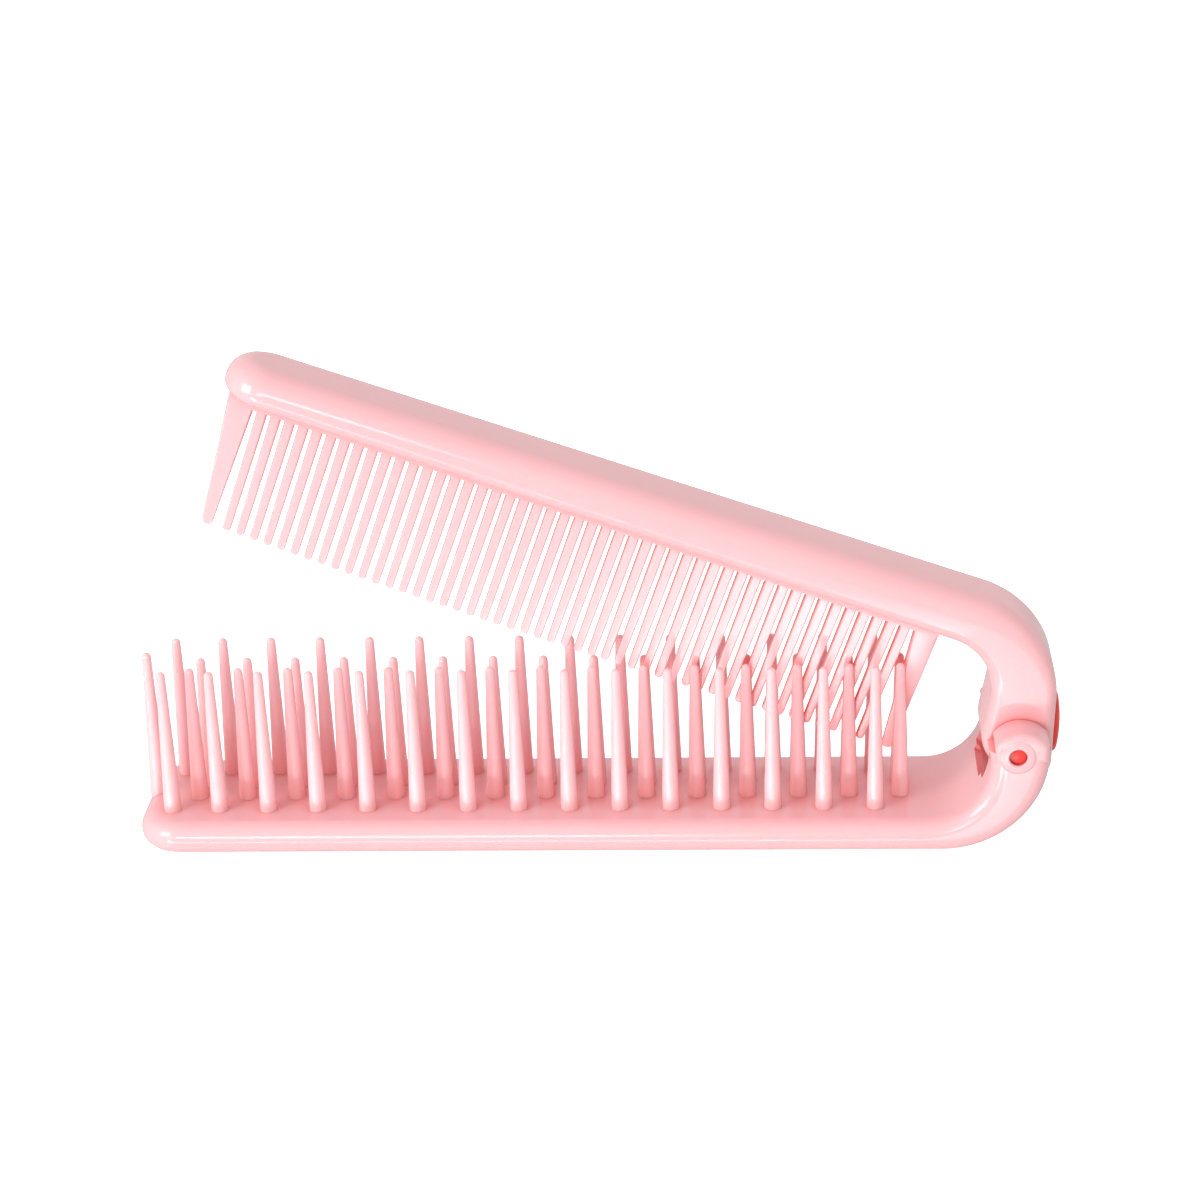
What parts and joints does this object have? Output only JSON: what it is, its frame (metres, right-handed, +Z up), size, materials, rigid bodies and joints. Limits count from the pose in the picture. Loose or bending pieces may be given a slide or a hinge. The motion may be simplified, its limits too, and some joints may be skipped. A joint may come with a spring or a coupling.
{
  "type": "folding comb",
  "caption": "Pocket folding comb: a slim toothed comb arm hinged to a pin brush arm, kept half open.",
  "frame": {"origin": "centre of the bounding box in plan, on the surface that the brush arm's back rests on", "axes": "+X from the free ends to the hinge, along the longest side; +Y along the hinge axis, away from the viewer, the shortest side; +Z up"},
  "size_m": [0.1144, 0.0208, 0.0627],
  "materials": {
    "pink_plastic": "glossy moulded plastic",
    "red_plastic": "satin moulded plastic"
  },
  "bodies": {
    "brush": {"brush_arm": "pink_plastic", "hinge_pin": "red_plastic"},
    "comb": {"comb_arm": "pink_plastic", "hinge_button": "red_plastic"}
  },
  "joints": [
    {"name": "comb_hinge", "type": "hinge", "parent": "brush", "child": "comb", "pos_m": [0.05143, 0, 0.01304], "axis": [0, 1, 0], "range_deg": [-19.2, 159.6]}
  ]
}
